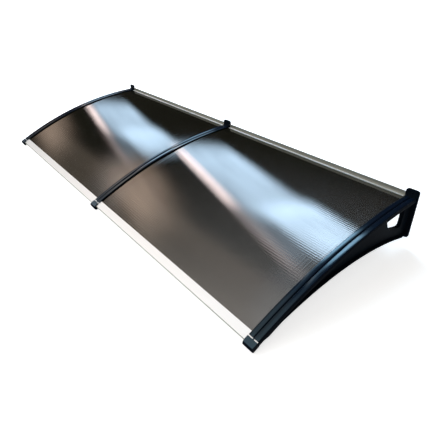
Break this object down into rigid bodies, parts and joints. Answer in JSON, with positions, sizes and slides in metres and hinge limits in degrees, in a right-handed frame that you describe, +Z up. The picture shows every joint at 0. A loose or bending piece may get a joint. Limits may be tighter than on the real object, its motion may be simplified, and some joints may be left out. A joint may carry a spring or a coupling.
{
  "type": "door canopy",
  "caption": "Arched door canopy: bronze plastic sheets on black moulded wall brackets, clamped under grooved cover strips and edged with aluminium bars; keeps rain off a door.",
  "frame": {"origin": "centre of the middle wall plate's rear face, on the wall", "axes": "+X along the wall, +Y into the wall, +Z up, front edge at -Y"},
  "size_m": [2.4, 0.9061, 0.2655],
  "materials": {
    "black_moulding": "fine moulded grain, satin",
    "black_strip": "extruded, half gloss",
    "bronze_sheet": "clear bronze tint, glossy",
    "aluminium_bar": "satin mill finish",
    "wall_rubber": "matte",
    "zinc_screw": "bright zinc plate"
  },
  "bodies": {
    "root": {"bracket_left": "black_moulding", "cover_strip_left": "black_strip", "front_cap_left": "black_strip", "strip_screw_left_1": "zinc_screw", "strip_screw_left_2": "zinc_screw", "strip_screw_left_3": "zinc_screw", "strip_screw_left_4": "zinc_screw", "cap_screw_left": "zinc_screw", "bracket_middle": "black_moulding", "cover_strip_middle": "black_strip", "front_cap_middle": "black_strip", "strip_screw_middle_1": "zinc_screw", "strip_screw_middle_2": "zinc_screw", "strip_screw_middle_3": "zinc_screw", "strip_screw_middle_4": "zinc_screw", "cap_screw_middle": "zinc_screw", "bracket_right": "black_moulding", "cover_strip_right": "black_strip", "front_cap_right": "black_strip", "strip_screw_right_1": "zinc_screw", "strip_screw_right_2": "zinc_screw", "strip_screw_right_3": "zinc_screw", "strip_screw_right_4": "zinc_screw", "cap_screw_right": "zinc_screw", "sheet_left": "bronze_sheet", "front_bar_left": "aluminium_bar", "rear_bar_left": "aluminium_bar", "wall_seal_left": "wall_rubber", "front_bar_screw_left_outer": "zinc_screw", "rear_bar_screw_left_outer": "zinc_screw", "front_bar_screw_left_inner": "zinc_screw", "rear_bar_screw_left_inner": "zinc_screw", "sheet_right": "bronze_sheet", "front_bar_right": "aluminium_bar", "rear_bar_right": "aluminium_bar", "wall_seal_right": "wall_rubber", "front_bar_screw_right_outer": "zinc_screw", "rear_bar_screw_right_outer": "zinc_screw", "front_bar_screw_right_inner": "zinc_screw", "rear_bar_screw_right_inner": "zinc_screw"}
  },
  "joints": []
}
